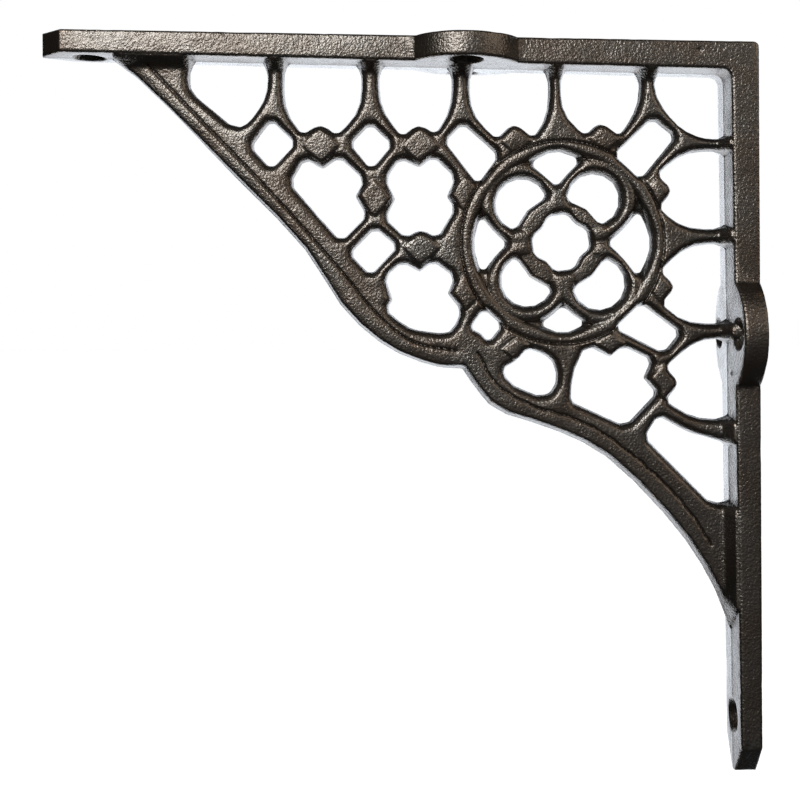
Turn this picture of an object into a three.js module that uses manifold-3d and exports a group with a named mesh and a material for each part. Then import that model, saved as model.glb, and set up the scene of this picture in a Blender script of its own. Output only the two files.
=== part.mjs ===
// Ornate cast iron shelf bracket: a shelf arm and a wall leg joined by a pierced tracery web.
// Millimetres. +X points into the wall, +Z up, and the casting is symmetric about y = 0.
// The origin is on the wall face, midway between the two screw holes of the leg's ear.

import * as THREE from 'three';
import { mergeVertices } from 'three/addons/utils/BufferGeometryUtils.js';
import Module from 'manifold-3d';

const wasm = await Module();
wasm.setup();

// Driving dimensions
const ARM = 196.2;              // reach of the shelf arm from the wall face
const LEG = 200;                // height of the wall leg below the corner
const STRAP_WIDTH = 16;         // width of both plates, along y
const ROOT_THICKNESS = 8;       // thickness of both plates at the corner
const ARM_TIP_THICKNESS = 6.6;  // thickness of the arm at its free end
const LEG_TIP_THICKNESS = 6.2;  // thickness of the leg at its foot
const ARM_RISE_DEGREES = 1.33;  // the arm is cast a little over square, so that a loaded shelf comes level
const TIP_CHAMFER = 6.5;        // corners cut off both free ends

const EAR_DISTANCE = 79.4;      // centre of each ear from the outer corner
const EAR_RADIUS = 16.2;
const EAR_HOLE_OFFSET = 10.4;   // screw holes of an ear, each side of the middle plane
const ARM_HOLE_INSET = 12.8;    // screw hole at the arm's tip, from the end
const LEG_HOLE_INSET = 15;      // screw hole at the leg's foot, from the end
const SCREW_SHANK = 5;
const SCREW_HEAD = 10;
const SINK_DEPTH = 2.8;         // depth of the countersink

const WEB_THICKNESS = 7.6;      // thickness of the tracery
const EDGE_ROUNDING = 1.2;      // bevel along every edge of the tracery
const ROOT_FILLET = 4.2;        // fillet that carries the web out to the edges of the plates
const GROOVE_WIDTH = 1.5;
const GROOVE_DEPTH = 0.8;
const BOSS_PROUD = 0.9;         // height of the bosses above the web

// The tracery's points are given on a plan of this size, and stretch with the arm and the leg.
// On the plan, u is the distance from the wall face and v the depth below the outer corner.
const PLAN_ARM = 196.2;
const PLAN_LEG = 200;

const ROUNDEL_CENTRE = [53.1, 54.0];
const ROUNDEL_INNER = 24.3;     // radius inside the ring
const ROUNDEL_GROOVE = 27.7;    // radius of the groove around the ring
const LOBE_RADIUS = 7.2;
const LOBE_STEPS = 9;           // facets around a lobe
const LOBE_CENTRES = [[64.0, 43.5], [44.1, 42.2], [42.6, 65.5], [62.5, 64.5]];
const STAR_PADS = [12.8, 11.6, 12.6, 12.8];   // radius of the pad between the star and each lobe
const SPANDREL_CORNERS = 23.3;  // where a spandrel's outer corners lie, from the roundel's centre
const FLANK_BULGE = 0.12;       // how far the lobes bulge into a spandrel, as a share of its width

// Spandrels: direction from the roundel's centre and half width in degrees, distance of the tip, and
// how far the outer edge is drawn past the ring's inside to curve it
const SPANDRELS = [
  [-86, 17.5, 15.4, 2.6], [1, 20, 14.8, 0.9], [91, 16, 17.4, 2.2], [179, 23.3, 13.0, 1.8],
];

const FACET_REACHES = [0, 2, 4];   // a rounding gets one more facet for each of these that it passes
const EDGE_SHARE = 0.96;        // most of an edge that the roundings at its ends may take
const BURY = 1;                 // how far a joined piece reaches into the one that carries it
const EASE = 0.02;              // keeps a cutter's widest ring clear of the face that it cuts

// The plan and the faces of the plates

const scaleU = ARM / PLAN_ARM;
const scaleV = LEG / PLAN_LEG;
const armTilt = THREE.MathUtils.degToRad(ARM_RISE_DEGREES);

function place(u, v) {
  return new THREE.Vector2(-u * scaleU, EAR_DISTANCE - v * scaleV);
}

// Depth of the shelf arm's upper and lower face, and the leg's inner face, all in true millimetres
function armTop(reach) {
  return -reach * Math.tan(armTilt);
}

function armUnderside(reach) {
  return armTop(reach) + THREE.MathUtils.lerp(ROOT_THICKNESS, ARM_TIP_THICKNESS, reach / ARM);
}

function legInner(depth) {
  return THREE.MathUtils.lerp(ROOT_THICKNESS, LEG_TIP_THICKNESS, depth / LEG);
}

function onArmUnderside(u) {
  return [u, armUnderside(u * scaleU) / scaleV];
}

function onLegInner(v) {
  return [legInner(v * scaleV) / scaleU, v];
}

// Where the arm's underside and the leg's inner face meet
const INNER_CORNER = [onLegInner(ROOT_THICKNESS)[0], onArmUnderside(ROOT_THICKNESS)[1]];

// Frames on the outer faces: a point and the direction from the outer face through the plate
const throughArm = new THREE.Vector3(-Math.sin(armTilt), 0, -Math.cos(armTilt));
const throughLeg = new THREE.Vector3(-1, 0, 0);

function onArm(distance, y) {
  return new THREE.Vector3(-distance, y, EAR_DISTANCE - armTop(distance));
}

function onLeg(distance, y) {
  return new THREE.Vector3(0, y, EAR_DISTANCE - distance);
}

// Solids

function toSolid(geometry) {
  const bare = geometry.index ? geometry.toNonIndexed() : geometry.clone();
  for (const name of Object.keys(bare.attributes)) {
    if (name !== 'position') bare.deleteAttribute(name);
  }
  const merged = mergeVertices(bare, 1e-5);
  return new wasm.Manifold(new wasm.Mesh({
    numProp: 3,
    vertProperties: new Float32Array(merged.attributes.position.array),
    triVerts: new Uint32Array(merged.index.array),
  }));
}

function toGeometry(solid) {
  const mesh = solid.getMesh();
  const geometry = new THREE.BufferGeometry();
  geometry.setAttribute('position', new THREE.BufferAttribute(mesh.vertProperties, 3));
  geometry.setIndex(new THREE.BufferAttribute(mesh.triVerts, 1));
  geometry.computeVertexNormals();
  return geometry;
}

function join(solids) {
  return solids.reduce((whole, piece) => whole.add(piece));
}

// A flat shape drawn in x and z, given a thickness along y and centred on y = middle
function slab(shape, thickness, middle = 0, options = {}) {
  const rim = options.bevelEnabled ? options.bevelThickness : 0;
  const depth = thickness - 2 * rim;
  const geometry = new THREE.ExtrudeGeometry(shape, { depth, bevelEnabled: false, ...options });
  geometry.translate(0, 0, -depth / 2);
  geometry.rotateX(Math.PI / 2);
  geometry.translate(0, middle, 0);
  return toSolid(geometry);
}

// A cutter or a bead whose section is a wedge: the shape itself below a face, spread at the face
function wedge(shape, face, spread, depth) {
  const outside = 2 * BURY;
  const side = Math.sign(face);
  const bevel = { bevelEnabled: true, bevelSegments: 1, bevelSize: spread, bevelThickness: depth };
  return slab(shape, outside + 2 * depth, face + side * (outside / 2 + EASE), bevel);
}

// Outlines

// Rounds every corner of a closed polygon. A rounding starts `reach` before its corner, or less
// where two roundings have to share a short edge.
function roundCorners(points, reaches) {
  const count = points.length;
  const shared = (i, j) => {
    const edge = points[i].distanceTo(points[j]);
    return Math.min(reaches[i], EDGE_SHARE * edge * reaches[i] / (reaches[i] + reaches[j]));
  };
  return points.flatMap((corner, i) => {
    if (!reaches[i]) return [corner];
    const [before, after] = [(i + count - 1) % count, (i + 1) % count];
    const start = corner.clone().add(points[before].clone().sub(corner).setLength(shared(i, before)));
    const end = corner.clone().add(points[after].clone().sub(corner).setLength(shared(i, after)));
    const steps = FACET_REACHES.filter((reach) => reaches[i] > reach).length;
    return new THREE.QuadraticBezierCurve(start, corner, end).getPoints(steps);
  });
}

// Moves a point of the plan that lies on the face of a plate a little way into the plate
function sink(point) {
  const moved = point.clone();
  if (Math.abs(point.y - onArmUnderside(point.x)[1]) < EASE) moved.y -= BURY;
  if (Math.abs(point.x - onLegInner(point.y)[0]) < EASE) moved.x -= BURY;
  return moved;
}

// An opening whose corners are [u, v, reach of the rounding]
function opening(corners) {
  const points = corners.map(([u, v]) => new THREE.Vector2(u, v));
  const rounded = roundCorners(points, corners.map((corner) => corner[2]));
  return new THREE.Shape(rounded.map(sink).map(({ x, y }) => place(x, y)));
}

// Windows of the tracery

const PLATE_CORNER = 3.2;       // rounding where a window meets a plate
const SHOULDER = 6;             // rounding of a bay's shoulders
const FOOT = 1;                 // rounding of its feet, at the ends of a boss
const HUMP = 2.2;               // rounding of the boss between the feet
const POINT = 0;                // the far side of a boss comes to a sharp point
const CORNER = 1.3;             // rounding of the other corners

// Where the windows at the ends of the two rows meet a plate
const SHELF_ROW = { outer: 155.2, stem: 134.0, inner: 27.2 };
const WALL_ROW = { corner: 25.6, stem: 109.8, lower: 125.6 };

// A bay of the shelf row or the wall row. Along the plate it runs between two sides, each
// [place along the plate, depth of the shoulder]; its far end has two feet and a hump.
function bay(sideA, footA, hump, footB, sideB, onPlate, turned) {
  const corners = [
    [sideA[0], sideA[1], SHOULDER], [...footA, FOOT], [...hump, HUMP], [...footB, FOOT],
    [sideB[0], sideB[1], SHOULDER],
  ];
  const drawn = corners.map(([along, depth, reach]) => (
    turned ? [depth, along, reach] : [along, depth, reach]
  ));
  return opening([
    [...onPlate(sideA[0]), PLATE_CORNER], ...drawn, [...onPlate(sideB[0]), PLATE_CORNER],
  ]);
}

function shelfBay(...places) {
  return bay(...places, onArmUnderside, false);
}

function wallBay(...places) {
  return bay(...places, onLegInner, true);
}

// The first window of the shelf row is cut off by the rim, and the last fills the corner
const shelfBays = [
  opening([
    [...onArmUnderside(SHELF_ROW.outer), PLATE_CORNER], [155.7, 11.4, 2.6], [143.2, 22.1, 2],
    [139.6, 21.0, 2.4], [133.9, 13.2, 4.5], [...onArmUnderside(SHELF_ROW.stem), PLATE_CORNER],
  ]),
  shelfBay([129.4, 18.2], [124.4, 23.7], [119.3, 20.7], [114.9, 24.0], [108.0, 17.4]),
  shelfBay([103.1, 17.0], [96.8, 24.4], [92.4, 20.9], [87.6, 23.8], [83.0, 17.4]),
  shelfBay([78.1, 18.4], [70.7, 25.3], [66.1, 20.8], [60.6, 24.9], [56.4, 19.6]),
  shelfBay([52.9, 19.0], [46.1, 24.4], [42.3, 20.6], [36.9, 24.6], [31.2, 17.0]),
  opening([
    [...onArmUnderside(SHELF_ROW.inner), PLATE_CORNER], [26.9, 14.2, 3.6], [20.0, 23.2, 4.5],
    [13.2, 25.6, 2.4], [...onLegInner(WALL_ROW.corner), 1.6], [...INNER_CORNER, 2.6],
  ]),
];

const wallBays = [
  wallBay([28.9, 19.6], [35.5, 26.4], [40.0, 22.0], [44.4, 26.0], [50.5, 19.6]),
  wallBay([54.6, 18.4], [62.1, 25.6], [66.4, 21.4], [70.9, 25.3], [76.6, 19.6]),
  wallBay([80.8, 15.8], [88.4, 24.2], [93.1, 20.5], [97.7, 24.4], [103.0, 17.2]),
  opening([
    [...onLegInner(WALL_ROW.stem), 2.6], [17.6, 106.9, 3], [26.6, 101.9, CORNER],
    [30.2, 107.9, CORNER], [11.8, 126.6, 1.8], [...onLegInner(WALL_ROW.lower), 1],
  ]),
];

const QUADS = [
  [[132.9, 19.7], [126.3, 26.3], [133.1, 33.4], [138.7, 27.2]],
  [[105.6, 20.8], [99.6, 26.7], [105.4, 33.5], [111.2, 26.6]],
  [[104.5, 49.7], [98.2, 54.9], [105.8, 62.9], [111.5, 56.8]],
  [[80.1, 20.9], [70.2, 29.9], [76.0, 37.8], [85.1, 25.9]],
  [[27.8, 19.8], [21.4, 25.0], [31.0, 36.7], [38.3, 29.8]],
  [[31.2, 70.9], [20.3, 79.0], [24.9, 84.7], [38.3, 77.7]],
];

const quads = QUADS.map((corners) => opening(corners.map((corner) => [...corner, CORNER])));

const cells = [
  [
    [123.9, 30.5, CORNER], [118.8, 33.2, POINT], [114.2, 30.0, CORNER], [107.4, 36.3, CORNER],
    [109.8, 40.9, POINT], [106.8, 46.3, CORNER], [113.9, 53.6, 1.6], [127.9, 37.4, 1.6],
  ],
  [
    [97.6, 30.5, CORNER], [92.1, 33.0, POINT], [88.2, 30.0, CORNER], [82.3, 35.8, CORNER],
    [84.5, 41.1, POINT], [82.3, 44.5, CORNER], [87.2, 52.6, CORNER], [92.0, 49.9, HUMP],
    [96.0, 52.6, CORNER], [101.6, 47.2, CORNER], [98.9, 41.8, POINT], [101.5, 36.4, CORNER],
  ],
  [
    [97.0, 59.1, CORNER], [92.2, 61.8, POINT], [88.5, 58.9, CORNER], [82.5, 63.3, CORNER],
    [84.4, 67.9, POINT], [80.7, 72.6, CORNER], [83.6, 79.4, 3.2], [95.4, 77.6, 3],
    [101.6, 72.5, CORNER], [99.8, 69.6, POINT], [101.8, 63.2, CORNER],
  ],
  [[74.6, 72.1, CORNER], [69.5, 76.7, CORNER], [73.2, 81.5, 1], [75.5, 79.0, POINT], [78.4, 77.6, 1]],
  [
    [62.6, 83.2, 0.8], [57.0, 85.0, 2.4], [54.5, 88.4, 1.6], [54.8, 94.4, 1.6], [58.6, 96.8, 1.6],
    [67.8, 92.9, 1.8], [69.5, 88.7, 1], [65.6, 86.7, 1.2],
  ],
  [
    [46.4, 82.2, 2], [39.7, 85.7, POINT], [36.2, 82.7, CORNER], [28.2, 86.4, CORNER],
    [30.4, 91.5, POINT], [26.9, 95.8, 1], [35.6, 104.9, 1.6], [50.6, 98.0, 1], [50.2, 91.0, 2],
  ],
].map(opening);

// Windows of the roundel

function polar(centre, radius, angle) {
  return [centre[0] + radius * Math.cos(angle), centre[1] + radius * Math.sin(angle)];
}

function arc(centre, radius, from, to, steps) {
  return Array.from({ length: steps + 1 }, (_, i) => (
    polar(centre, radius, THREE.MathUtils.lerp(from, to, i / steps))
  ));
}

function angleTo(centre, point) {
  return Math.atan2(point[1] - centre[1], point[0] - centre[0]);
}

// Half the angle, seen from the centre of a circle, of the part that lies in another circle
function halfAngle(radius, otherRadius, distance) {
  return Math.acos((radius ** 2 + distance ** 2 - otherRadius ** 2) / (2 * radius * distance));
}

function distanceBetween(a, b) {
  return Math.hypot(a[0] - b[0], a[1] - b[1]);
}

function planShape(points) {
  return new THREE.Shape(points.map(([u, v]) => place(u, v)));
}

const STAR_SIDE = 7.7;          // middle of a flat side of the star, from the centre
const STAR_HALF_SIDE = 2.85;
const STAR_HUMP = 6.2;          // the humps between the sides
const STAR_LEAN = 0.13;         // the cast star stands a little turned, in radians
const HORN_BLUNT = 0.16;        // angle left off each horn of a lobe, seen from the lobe's centre
const PAD_BLUNT = 0.09;         // the same, seen from the roundel's centre

function star() {
  const hump = polar([0, 0], STAR_HUMP, Math.PI / 4);
  const quarter = [[STAR_SIDE, STAR_HALF_SIDE], hump, [STAR_HALF_SIDE, STAR_SIDE]];
  const corners = [0, 1, 2, 3].flatMap((turn) => quarter.map(([a, b], i) => {
    const angle = Math.atan2(b, a) + turn * Math.PI / 2 + STAR_LEAN;
    return [...polar(ROUNDEL_CENTRE, Math.hypot(a, b), angle), i === 1 ? HUMP : FOOT];
  }));
  return opening(corners);
}

// The hole of a lobe: a circle less the pad around the star, its two horns blunted
function lobe(centre, pad) {
  const distance = distanceBetween(centre, ROUNDEL_CENTRE);
  const towardStar = angleTo(centre, ROUNDEL_CENTRE);
  const horn = halfAngle(LOBE_RADIUS, pad, distance) + HORN_BLUNT;
  const fullTurn = 2 * Math.PI;
  const outer = arc(centre, LOBE_RADIUS, towardStar + horn, towardStar + fullTurn - horn, LOBE_STEPS);
  const half = halfAngle(pad, LOBE_RADIUS, distance) - PAD_BLUNT;
  const outward = angleTo(ROUNDEL_CENTRE, centre);
  const inner = arc(ROUNDEL_CENTRE, pad, outward + half, outward - half, 2);
  return planShape([...outer, ...inner]);
}

// The hole between two lobes: a crown along the ring, two corners and a tip toward the star
function spandrel([degrees, spread, tipDistance, crown]) {
  const middle = THREE.MathUtils.degToRad(degrees);
  const half = THREE.MathUtils.degToRad(spread);
  const corner = (sign) => polar(ROUNDEL_CENTRE, SPANDREL_CORNERS, middle + sign * half);
  const tip = polar(ROUNDEL_CENTRE, tipDistance, middle);
  const axis = polar(ROUNDEL_CENTRE, (SPANDREL_CORNERS + tipDistance) / 2, middle);
  const flank = ([u, v]) => [
    THREE.MathUtils.lerp((u + tip[0]) / 2, axis[0], FLANK_BULGE),
    THREE.MathUtils.lerp((v + tip[1]) / 2, axis[1], FLANK_BULGE),
  ];
  return opening([
    [...corner(-1), CORNER],
    [...polar(ROUNDEL_CENTRE, ROUNDEL_INNER + crown, middle), SHOULDER],
    [...corner(1), CORNER],
    [...flank(corner(1)), HUMP],
    [...tip, FOOT],
    [...flank(corner(-1)), HUMP],
  ]);
}

const roundelWindows = [
  star(),
  ...LOBE_CENTRES.map((centre, i) => lobe(centre, STAR_PADS[i])),
  ...SPANDRELS.map(spandrel),
];

const windows = [...shelfBays, ...wallBays, ...quads, ...cells, ...roundelWindows];

// Scrolled rim: two runs that meet in a cusp, each a curve through a few points

const CUSP = [80.5, 88.6];
const upperRun = [
  [178.8, 1.6], [168.0, 9.6], [144.6, 33.4], [124.5, 54.2], [113.2, 71.5], [101.2, 82.3],
  [88.6, 87.5], CUSP,
];
const lowerRun = [
  CUSP, [77.4, 93.2], [70.8, 100.3], [54.9, 105.8], [39.8, 114.0], [22.3, 132.1],
  [11.8, 148.2], [6.2, 163.0],
];

function curveThrough(run, steps) {
  return new THREE.SplineCurve(run.map(([u, v]) => place(u, v))).getPoints(steps);
}

const RIM_STEPS = 16;
const RIM_START = 170;          // where the rim leaves the arm and the leg, inside the plates
const RIM_END = 158;

function webOutline() {
  const rim = [...curveThrough(upperRun, RIM_STEPS), ...curveThrough(lowerRun, RIM_STEPS).slice(1)];
  const back = ROOT_THICKNESS / 3;   // the web's other edges lie inside the plates
  const [, under] = onArmUnderside(RIM_START);
  return new THREE.Shape([place(back, back), place(RIM_START, under - back), ...rim, place(back, RIM_END)]);
}

const upperGroove = [
  [166.5, 4.9], [153.6, 18.6], [133.2, 39.8], [114.4, 61.0], [104.5, 73.0], [94.5, 81.0],
  [82.4, 83.6],
];
const lowerGroove = [
  [76.3, 84.5], [71.8, 92.4], [61.7, 98.7], [46.6, 103.9], [31.6, 114.7], [19.6, 126.7],
  [12.8, 137.2],
];

// A narrow band along a curve, to be spread into a groove
function band(run, width, steps) {
  const curve = new THREE.SplineCurve(run.map(([u, v]) => place(u, v)));
  const edge = (side) => Array.from({ length: steps + 1 }, (_, i) => {
    const along = curve.getTangent(i / steps);
    const across = new THREE.Vector2(-along.y, along.x).multiplyScalar(side * width / 2);
    return curve.getPoint(i / steps).add(across);
  });
  return new THREE.Shape([...edge(1), ...edge(-1).reverse()]);
}

function ringBand(radius, width, steps) {
  const circle = (r) => planShape(arc(ROUNDEL_CENTRE, r, 0, 2 * Math.PI, steps).slice(1));
  const shape = circle(radius + width / 2);
  shape.holes.push(circle(radius - width / 2));
  return shape;
}

const GROOVE_FLOOR = 0.2;       // width of a groove's floor
const GROOVE_STEPS = 9;
const RING_STEPS = 28;

function grooves(face) {
  const spread = (GROOVE_WIDTH - GROOVE_FLOOR) / 2;
  const shapes = [
    band(upperGroove, GROOVE_FLOOR, GROOVE_STEPS),
    band(lowerGroove, GROOVE_FLOOR, GROOVE_STEPS),
    ringBand(ROUNDEL_GROOVE, GROOVE_FLOOR, RING_STEPS),
  ];
  return join(shapes.map((shape) => wedge(shape, face, spread, GROOVE_DEPTH)));
}

// Bosses: pillows that stand out on both faces, [u, v, half width along u, half width along v]

const bosses = [
  [119.3, 27.0, 4.6, 4.4], [91.9, 27.3, 4.6, 4.4], [91.8, 55.2, 4.6, 4.2], [104.7, 41.6, 4.0, 4.4],
  [25.5, 92.4, 3.8, 4.2],
  [65.9, 25.4, 3.8, 3.2], [41.4, 25.0, 3.8, 3.2], [79.6, 40.6, 3.2, 3.8], [79.9, 67.6, 3.2, 3.8],
  [25.6, 40.0, 3.2, 3.8], [25.2, 66.6, 3.2, 3.8], [40.2, 82.2, 3.4, 2.6], [65.4, 83.4, 3.4, 2.4],
];

const PILLOW_SIDES = 6;

function pillow([u, v, halfU, halfV]) {
  const geometry = new THREE.SphereGeometry(1, PILLOW_SIDES, PILLOW_SIDES);
  geometry.scale(halfU * scaleU, WEB_THICKNESS / 2 + BOSS_PROUD, halfV * scaleV);
  const centre = place(u, v);
  geometry.translate(centre.x, 0, centre.y);
  return toSolid(geometry);
}

// The web: outline with bevelled edges, pierced, grooved and set with bosses

const face = WEB_THICKNESS / 2;
const outline = webOutline();
const piercing = join(windows.map((shape) => slab(shape, 2 * STRAP_WIDTH)));

function web() {
  const plain = slab(outline, WEB_THICKNESS, 0, {
    bevelEnabled: true,
    bevelSegments: 1,
    bevelSize: EDGE_ROUNDING,
    bevelOffset: -EDGE_ROUNDING,
    bevelThickness: EDGE_ROUNDING,
  });
  let solid = plain.add(join(bosses.map(pillow))).subtract(piercing);
  for (const side of [-face, face]) {
    const edges = windows.map((shape) => wedge(shape, side, EDGE_ROUNDING, EDGE_ROUNDING));
    solid = solid.subtract(join(edges)).subtract(grooves(side));
  }
  return solid;
}

// Fillets that spread the web to the full width of a plate, cut away where the windows are

// A strip between two points on a plate's face; its section flares from the web to the plate's edges
function fillet(start, end, inward) {
  const along = end.clone().sub(start);
  const half = STRAP_WIDTH / 2;
  const section = new THREE.Shape();
  section.moveTo(-BURY, -half);
  section.lineTo(0, -half);
  section.quadraticCurveTo(0, -face, ROOT_FILLET, -face);
  section.lineTo(ROOT_FILLET, face);
  section.quadraticCurveTo(0, face, 0, half);
  section.lineTo(-BURY, half);
  const geometry = new THREE.ExtrudeGeometry(section, {
    depth: along.length(), bevelEnabled: false, curveSegments: 3,
  });
  const alongAxis = along.clone().normalize();
  const acrossAxis = new THREE.Vector3(0, 1, 0);
  const sign = Math.sign(new THREE.Vector3().crossVectors(inward, acrossAxis).dot(alongAxis));
  const from = sign > 0 ? start : end;
  const basis = new THREE.Matrix4().makeBasis(inward, acrossAxis, alongAxis.multiplyScalar(sign));
  geometry.applyMatrix4(basis.setPosition(from));
  return toSolid(geometry);
}

function space({ x, y }) {
  return new THREE.Vector3(x, 0, y);
}

const ROOT_START = 4;           // where the fillets start and end along the arm and the leg
const ARM_ROOT_END = 186;
const LEG_ROOT_END = 176;

function strip(onPlate, rootEnd, awayFrom) {
  const start = space(place(...onPlate(ROOT_START)));
  const end = space(place(...onPlate(rootEnd)));
  const inward = end.clone().sub(start).cross(new THREE.Vector3(0, 1, 0)).normalize();
  if (inward.dot(awayFrom) < 0) inward.negate();
  return fillet(start, end, inward);
}

function roots() {
  const strips = [
    strip(onArmUnderside, ARM_ROOT_END, throughArm), strip(onLegInner, LEG_ROOT_END, throughLeg),
  ];
  return join(strips).intersect(slab(outline, STRAP_WIDTH)).subtract(piercing);
}

// The two plates with their ears, chamfered ends and screw holes

function ell(width) {
  const points = [
    [0, armTop(0)], [ARM, armTop(ARM)], [ARM, armUnderside(ARM)],
    [ROOT_THICKNESS, armUnderside(ROOT_THICKNESS)], [legInner(LEG), LEG], [0, LEG],
  ];
  return slab(new THREE.Shape(points.map(([x, z]) => new THREE.Vector2(-x, EAR_DISTANCE - z))), width);
}

// Turns a shape made about the y axis so that +y runs along a direction from a point
function stand(geometry, point, direction) {
  const turn = new THREE.Quaternion().setFromUnitVectors(new THREE.Vector3(0, 1, 0), direction);
  geometry.applyQuaternion(turn);
  geometry.translate(point.x, point.y, point.z);
  return toSolid(geometry);
}

const THROUGH = 4 * ROOT_THICKNESS;   // length of what passes right through a plate
const EAR_SIDES = 32;
const HOLE_SIDES = 14;

function ear(point, direction) {
  const disc = new THREE.CylinderGeometry(EAR_RADIUS, EAR_RADIUS, THROUGH, EAR_SIDES);
  return stand(disc, point, direction);
}

function screwHole(point, direction, thickness) {
  const neck = thickness - SINK_DEPTH;
  const profile = [
    [0, -BURY], [SCREW_SHANK / 2, -BURY], [SCREW_SHANK / 2, neck], [SCREW_HEAD / 2, thickness],
    [SCREW_HEAD / 2 + BURY, thickness + BURY], [0, thickness + BURY],
  ];
  const turned = new THREE.LatheGeometry(profile.map(([r, y]) => new THREE.Vector2(r, y)), HOLE_SIDES);
  return stand(turned, point, direction);
}

// A prism that cuts one corner off a free end, upright on the plate
function tipCutter(point, direction, toEnd, side) {
  const reach = TIP_CHAMFER + BURY;
  const sideways = new THREE.Vector3(0, side, 0);
  const turned = new THREE.Vector3().crossVectors(toEnd, sideways).dot(direction) < 0;
  const corners = [
    [-TIP_CHAMFER, 0], [0, -TIP_CHAMFER], [reach, -TIP_CHAMFER], [reach, BURY], [-TIP_CHAMFER, BURY],
  ];
  const points = corners.map(([along, across]) => new THREE.Vector2(along, turned ? -across : across));
  const prism = { depth: THROUGH, bevelEnabled: false };
  const geometry = new THREE.ExtrudeGeometry(new THREE.Shape(points), prism);
  geometry.translate(0, 0, -THROUGH / 2);
  const across = turned ? sideways.negate() : sideways;
  geometry.applyMatrix4(new THREE.Matrix4().makeBasis(toEnd, across, direction));
  geometry.translate(point.x, point.y, point.z);
  return toSolid(geometry);
}

function plates() {
  const half = STRAP_WIDTH / 2;
  const strap = ell(STRAP_WIDTH);
  const wide = ell(2 * EAR_RADIUS + 2 * BURY);
  const ears = ear(onArm(EAR_DISTANCE, 0), throughArm).add(ear(onLeg(EAR_DISTANCE, 0), throughLeg));
  const armEnd = new THREE.Vector3(-1, 0, 0);
  const legEnd = new THREE.Vector3(0, 0, -1);
  let solid = strap.add(wide.intersect(ears));
  for (const side of [-1, 1]) {
    solid = solid.subtract(tipCutter(onArm(ARM, side * half), throughArm, armEnd, side));
    solid = solid.subtract(tipCutter(onLeg(LEG, side * half), throughLeg, legEnd, side));
  }
  return solid;
}

function screwHoles() {
  const armThickness = (distance) => armUnderside(distance) - armTop(distance);
  const pair = [[EAR_DISTANCE, EAR_HOLE_OFFSET], [EAR_DISTANCE, -EAR_HOLE_OFFSET]];
  const arm = [...pair, [ARM - ARM_HOLE_INSET, 0]];
  const leg = [...pair, [LEG - LEG_HOLE_INSET, 0]];
  return join([
    ...arm.map(([distance, y]) => screwHole(onArm(distance, y), throughArm, armThickness(distance))),
    ...leg.map(([distance, y]) => screwHole(onLeg(distance, y), throughLeg, legInner(distance))),
  ]);
}

// The bracket

const iron = new THREE.MeshStandardMaterial({ color: 0x4a423c, roughness: 0.5, metalness: 0.8 });
const casting = plates().add(web()).add(roots()).subtract(screwHoles());
const bracket = new THREE.Mesh(toGeometry(casting), iron);
bracket.name = 'bracket';

const group = new THREE.Group();
group.add(bracket);

export default group;
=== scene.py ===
import math

import bpy
import numpy as np
from mathutils import Matrix, Vector


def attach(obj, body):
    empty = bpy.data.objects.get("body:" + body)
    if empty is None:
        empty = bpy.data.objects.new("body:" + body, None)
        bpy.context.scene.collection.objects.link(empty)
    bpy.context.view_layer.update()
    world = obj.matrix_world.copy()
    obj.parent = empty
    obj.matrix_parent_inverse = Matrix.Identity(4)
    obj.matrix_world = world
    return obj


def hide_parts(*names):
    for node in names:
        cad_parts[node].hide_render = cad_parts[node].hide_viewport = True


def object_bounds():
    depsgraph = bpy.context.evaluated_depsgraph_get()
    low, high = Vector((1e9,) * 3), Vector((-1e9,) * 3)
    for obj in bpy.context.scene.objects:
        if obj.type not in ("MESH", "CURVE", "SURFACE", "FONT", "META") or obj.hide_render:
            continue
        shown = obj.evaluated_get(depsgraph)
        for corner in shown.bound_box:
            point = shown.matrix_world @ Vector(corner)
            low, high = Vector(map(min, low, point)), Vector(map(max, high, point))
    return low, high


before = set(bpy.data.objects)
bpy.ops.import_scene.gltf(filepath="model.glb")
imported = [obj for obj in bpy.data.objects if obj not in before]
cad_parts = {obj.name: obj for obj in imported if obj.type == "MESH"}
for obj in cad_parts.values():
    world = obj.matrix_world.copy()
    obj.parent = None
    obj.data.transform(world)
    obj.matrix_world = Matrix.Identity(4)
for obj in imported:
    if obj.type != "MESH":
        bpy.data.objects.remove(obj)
cad_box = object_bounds()

MM = 0.001

# Grid that the surface is drawn from
CELL = 0.3                 # spacing along x and z
LAYER = 0.4                # spacing along y
MARGIN = 3                 # empty cells around the casting
COARSE = 3                 # the space around the casting is found on every third grid point
NUDGE = 1e-4               # keeps the grid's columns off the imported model's corners
TINY = 1e-12               # keeps a segment of no length from a division by nothing
FAR_OUTSIDE = -9.0         # the field's value where a form doesn't reach
TRIANGLES = 196000         # the finished mesh is thinned to this many

# The casting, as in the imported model. u is the distance from the wall, v the depth below the outer corner.
STRAP_HALF = 8.0           # half the width of the arm and the leg
ARM_RISE = math.radians(1.33)
ROOT_THICKNESS = 8.0       # of the arm and the leg at the corner
ARM_TIP_THICKNESS = 6.6
LEG_TIP_THICKNESS = 6.2
TIP_CHAMFER = 6.5
FOOT_RUN = 8.2             # how far the foot's chamfers run up the leg
EAR_RADIUS = 16.2
EAR_DISTANCE = 79.4        # from the outer corner
EAR_HOLE_OFFSET = 10.4     # from the middle plane
ARM_HOLE_INSET = 12.8      # from the arm's tip
LEG_HOLE_INSET = 15.0      # from the foot
SHANK_RADIUS = 2.5
HEAD_RADIUS = 5.0
SINK_DEPTH = 2.8
HOLE_SLOPE = 0.8           # slope of the field around the holes

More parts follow.
